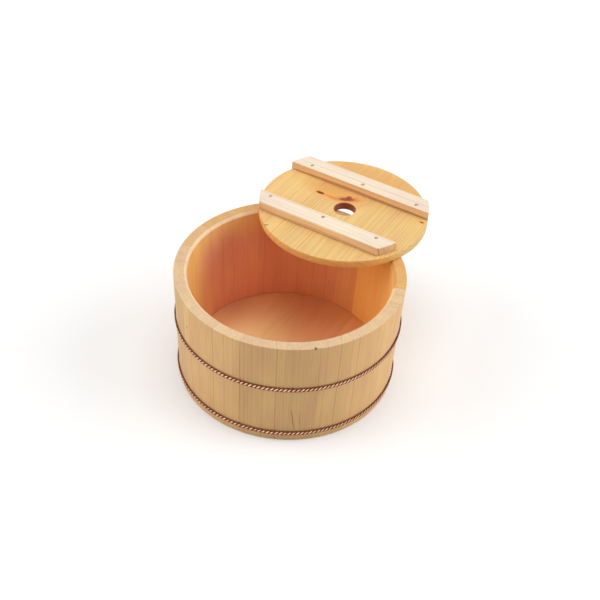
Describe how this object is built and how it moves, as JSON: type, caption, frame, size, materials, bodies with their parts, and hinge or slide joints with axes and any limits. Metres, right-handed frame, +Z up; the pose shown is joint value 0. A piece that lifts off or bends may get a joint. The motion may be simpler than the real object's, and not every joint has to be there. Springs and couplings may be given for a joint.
{
  "type": "wooden ice tub",
  "caption": "Round coopered wooden tub for ice, bound by twisted copper wire hoops, with a loose round drain board on battens that has a finger hole.",
  "frame": {"origin": "on the surface the tub stands on, below the middle of the footprint that the tub and the drain board on its rim share", "axes": "+Z up along the tub's axis; +Y from the tub's axis towards the drain board; +X along the drain board's battens"},
  "size_m": [0.3016, 0.4088, 0.1866],
  "materials": {
    "stave_wood": "planed bare softwood",
    "bottom_wood": "planed bare softwood",
    "drain_board_wood": "planed bare softwood with knots",
    "batten_wood": "planed pale softwood",
    "bamboo": "whittled bamboo",
    "copper_wire": "drawn copper wire",
    "nail_steel": "plain wire nail"
  },
  "bodies": {
    "tub": {"stave_01": "stave_wood", "stave_02": "stave_wood", "stave_03": "stave_wood", "stave_04": "stave_wood", "stave_05": "stave_wood", "stave_06": "stave_wood", "stave_07": "stave_wood", "stave_08": "stave_wood", "stave_09": "stave_wood", "stave_10": "stave_wood", "stave_11": "stave_wood", "stave_12": "stave_wood", "stave_13": "stave_wood", "stave_14": "stave_wood", "stave_15": "stave_wood", "stave_16": "stave_wood", "stave_17": "stave_wood", "stave_18": "stave_wood", "stave_19": "stave_wood", "stave_peg_01": "bamboo", "stave_peg_02": "bamboo", "stave_peg_03": "bamboo", "stave_peg_04": "bamboo", "stave_peg_05": "bamboo", "stave_peg_06": "bamboo", "stave_peg_07": "bamboo", "stave_peg_08": "bamboo", "stave_peg_09": "bamboo", "stave_peg_10": "bamboo", "stave_peg_11": "bamboo", "stave_peg_12": "bamboo", "stave_peg_13": "bamboo", "stave_peg_14": "bamboo", "stave_peg_15": "bamboo", "stave_peg_16": "bamboo", "stave_peg_17": "bamboo", "stave_peg_18": "bamboo", "stave_peg_19": "bamboo", "bottom_board_left": "bottom_wood", "bottom_board_middle": "bottom_wood", "bottom_board_right": "bottom_wood", "bottom_peg_1": "bamboo", "bottom_peg_2": "bamboo", "bottom_peg_3": "bamboo", "bottom_peg_4": "bamboo", "upper_hoop": "copper_wire", "lower_hoop": "copper_wire"},
    "drain_board": {"drain_plank_left": "drain_board_wood", "drain_plank_middle": "drain_board_wood", "drain_plank_right": "drain_board_wood", "batten_front": "batten_wood", "batten_back": "batten_wood", "nail_front_left": "nail_steel", "nail_front_middle": "nail_steel", "nail_front_right": "nail_steel", "nail_back_left": "nail_steel", "nail_back_middle": "nail_steel", "nail_back_right": "nail_steel"}
  },
  "joints": [
    {"name": "drain_board_lift", "type": "slide", "parent": "tub", "child": "drain_board", "axis": [0, 0, 1], "range_m": [0, 0.2]}
  ]
}
